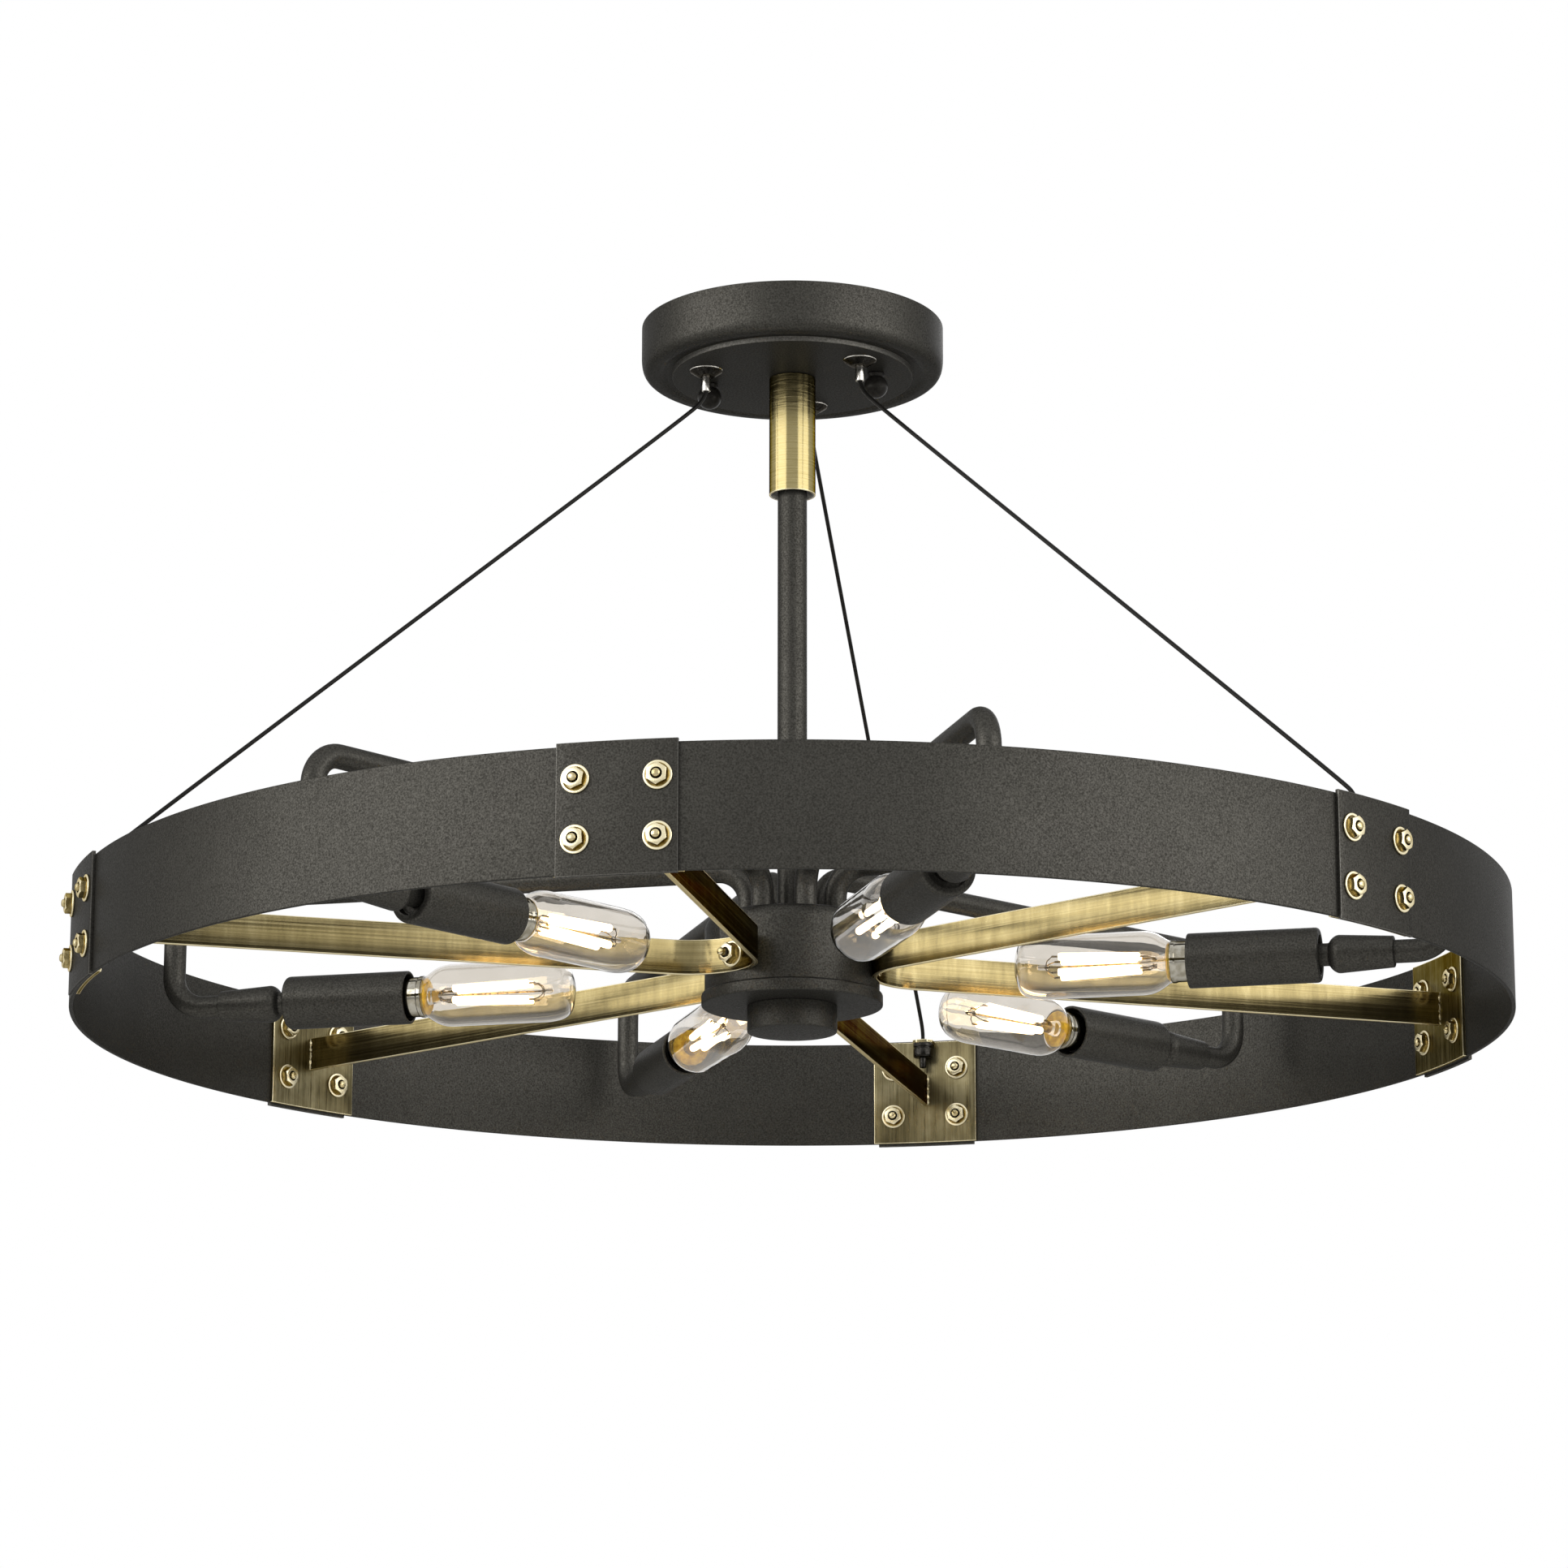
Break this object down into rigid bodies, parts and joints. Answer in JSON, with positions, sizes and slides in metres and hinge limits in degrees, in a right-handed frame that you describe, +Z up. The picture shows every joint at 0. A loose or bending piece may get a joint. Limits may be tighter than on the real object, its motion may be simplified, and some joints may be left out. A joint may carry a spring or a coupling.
{
  "type": "semi-flush ceiling light",
  "caption": "Ceiling light with a round canopy, a straight stem and a hub, from which bent arms carry bare tubular bulbs inside a wide open ring held by flat brass straps and taut cables.",
  "frame": {"origin": "centre of the ceiling plane, midway between the crossbar's two outlet box slots", "axes": "+Z up into the ceiling, +X along the crossbar towards the right ball nut"},
  "size_m": [0.572, 0.584, 0.2948],
  "materials": {
    "black_powder_coat": "fine matte texture",
    "aged_brass": "brushed and darkened",
    "satin_brass": "satin",
    "zinc_steel": "zinc plated",
    "dark_steel": "blackened",
    "nickel": "bright nickel",
    "wire_rope": "dark stranded wire",
    "lampholder_body": "matte",
    "bulb_metal": "plated",
    "clear_glass": "clear"
  },
  "bodies": {
    "fixture": {"crossbar": "zinc_steel", "canopy_studs": "zinc_steel", "canopy": "black_powder_coat", "stem_nuts": "zinc_steel", "gripper_nuts": "zinc_steel", "sleeve": "satin_brass", "stem": "black_powder_coat", "hub_body": "black_powder_coat", "hub_cover": "black_powder_coat", "cable_grippers": "dark_steel", "cable_stops": "dark_steel", "ring_band": "black_powder_coat", "outer_plates": "black_powder_coat", "bracket_bolts": "satin_brass", "strap_bolts": "satin_brass", "arm_nuts": "zinc_steel", "lampholders": "lampholder_body", "cable_1": "wire_rope", "strap_1": "aged_brass", "cable_2": "wire_rope", "strap_2": "aged_brass", "cable_3": "wire_rope", "strap_3": "aged_brass", "arm_1": "black_powder_coat", "socket_cover_1": "black_powder_coat", "arm_2": "black_powder_coat", "socket_cover_2": "black_powder_coat", "arm_3": "black_powder_coat", "socket_cover_3": "black_powder_coat", "arm_4": "black_powder_coat", "socket_cover_4": "black_powder_coat", "arm_5": "black_powder_coat", "socket_cover_5": "black_powder_coat", "arm_6": "black_powder_coat", "socket_cover_6": "black_powder_coat"},
    "bulb_1_contact": {"bulb_contact_1": "bulb_metal"},
    "bulb_1": {"bulb_base_1": "bulb_metal", "bulb_glass_1": "clear_glass"},
    "bulb_2_contact": {"bulb_contact_2": "bulb_metal"},
    "bulb_2": {"bulb_base_2": "bulb_metal", "bulb_glass_2": "clear_glass"},
    "bulb_3_contact": {"bulb_contact_3": "bulb_metal"},
    "bulb_3": {"bulb_base_3": "bulb_metal", "bulb_glass_3": "clear_glass"},
    "bulb_4_contact": {"bulb_contact_4": "bulb_metal"},
    "bulb_4": {"bulb_base_4": "bulb_metal", "bulb_glass_4": "clear_glass"},
    "bulb_5_contact": {"bulb_contact_5": "bulb_metal"},
    "bulb_5": {"bulb_base_5": "bulb_metal", "bulb_glass_5": "clear_glass"},
    "bulb_6_contact": {"bulb_contact_6": "bulb_metal"},
    "bulb_6": {"bulb_base_6": "bulb_metal", "bulb_glass_6": "clear_glass"},
    "release_1": {"gripper_release_1": "nickel"},
    "release_2": {"gripper_release_2": "nickel"},
    "release_3": {"gripper_release_3": "nickel"},
    "ball_nut_left": {"ball_nut_left": "black_powder_coat"},
    "ball_nut_right": {"ball_nut_right": "black_powder_coat"},
    "finial_cap": {"finial_cap": "black_powder_coat"}
  },
  "joints": [
    {"name": "bulb_1_travel", "type": "slide", "parent": "fixture", "child": "bulb_1_contact", "axis": [0.4924, 0.8704, 0], "range_m": [0, 0.00889]},
    {"name": "bulb_1_turn", "type": "hinge", "parent": "bulb_1_contact", "child": "bulb_1", "pos_m": [-0.07991, -0.14092, -0.273], "axis": [0.4924, 0.8704, 0], "range_deg": [0, 1260]},
    {"name": "bulb_2_travel", "type": "slide", "parent": "fixture", "child": "bulb_2_contact", "axis": [-0.4617, 0.887, 0], "range_m": [0, 0.00889]},
    {"name": "bulb_2_turn", "type": "hinge", "parent": "bulb_2_contact", "child": "bulb_2", "pos_m": [0.07548, -0.14332, -0.273], "axis": [-0.4617, 0.887, 0], "range_deg": [0, 1260]},
    {"name": "bulb_3_travel", "type": "slide", "parent": "fixture", "child": "bulb_3_contact", "axis": [-0.9998, 0.0175, 0], "range_m": [0, 0.00889]},
    {"name": "bulb_3_turn", "type": "hinge", "parent": "bulb_3_contact", "child": "bulb_3", "pos_m": [0.16198, -0.00252, -0.273], "axis": [-0.9998, 0.0175, 0], "range_deg": [0, 1260]},
    {"name": "bulb_4_travel", "type": "slide", "parent": "fixture", "child": "bulb_4_contact", "axis": [-0.5736, -0.8192, 0], "range_m": [0, 0.00889]},
    {"name": "bulb_4_turn", "type": "hinge", "parent": "bulb_4_contact", "child": "bulb_4", "pos_m": [0.09162, 0.13353, -0.273], "axis": [-0.5736, -0.8192, 0], "range_deg": [0, 1260]},
    {"name": "bulb_5_travel", "type": "slide", "parent": "fixture", "child": "bulb_5_contact", "axis": [0.4772, -0.8788, 0], "range_m": [0, 0.00889]},
    {"name": "bulb_5_turn", "type": "hinge", "parent": "bulb_5_contact", "child": "bulb_5", "pos_m": [-0.0777, 0.14214, -0.273], "axis": [0.4772, -0.8788, 0], "range_deg": [0, 1260]},
    {"name": "bulb_6_travel", "type": "slide", "parent": "fixture", "child": "bulb_6_contact", "axis": [0.9997, -0.0262, 0], "range_m": [0, 0.00889]},
    {"name": "bulb_6_turn", "type": "hinge", "parent": "bulb_6_contact", "child": "bulb_6", "pos_m": [-0.16195, 0.00378, -0.273], "axis": [0.9997, -0.0262, 0], "range_deg": [0, 1260]},
    {"name": "release_1_push", "type": "slide", "parent": "fixture", "child": "release_1", "axis": [0, 0, 1], "range_m": [0, 0.0015], "stiffness_N_per_m": 300, "springref_m": -0.002},
    {"name": "release_2_push", "type": "slide", "parent": "fixture", "child": "release_2", "axis": [0, 0, 1], "range_m": [0, 0.0015], "stiffness_N_per_m": 300, "springref_m": -0.002},
    {"name": "release_3_push", "type": "slide", "parent": "fixture", "child": "release_3", "axis": [0, 0, 1], "range_m": [0, 0.0015], "stiffness_N_per_m": 300, "springref_m": -0.002},
    {"name": "ball_nut_left_turn", "type": "hinge", "parent": "fixture", "child": "ball_nut_left", "pos_m": [-0.035, 0, -0.027], "axis": [0, 0, 1], "range_deg": [-180, 180]},
    {"name": "ball_nut_right_turn", "type": "hinge", "parent": "fixture", "child": "ball_nut_right", "pos_m": [0.035, 0, -0.027], "axis": [0, 0, 1], "range_deg": [-180, 180]},
    {"name": "finial_turn", "type": "hinge", "parent": "fixture", "child": "finial_cap", "pos_m": [0, 0, -0.289], "axis": [0, 0, 1], "range_deg": [-180, 180]}
  ],
  "couplings": [
    {"joint": "bulb_1_turn", "follows": "bulb_1_travel", "rad_per_m": 2473.7},
    {"joint": "bulb_2_turn", "follows": "bulb_2_travel", "rad_per_m": 2473.7},
    {"joint": "bulb_3_turn", "follows": "bulb_3_travel", "rad_per_m": 2473.7},
    {"joint": "bulb_4_turn", "follows": "bulb_4_travel", "rad_per_m": 2473.7},
    {"joint": "bulb_5_turn", "follows": "bulb_5_travel", "rad_per_m": 2473.7},
    {"joint": "bulb_6_turn", "follows": "bulb_6_travel", "rad_per_m": 2473.7}
  ]
}
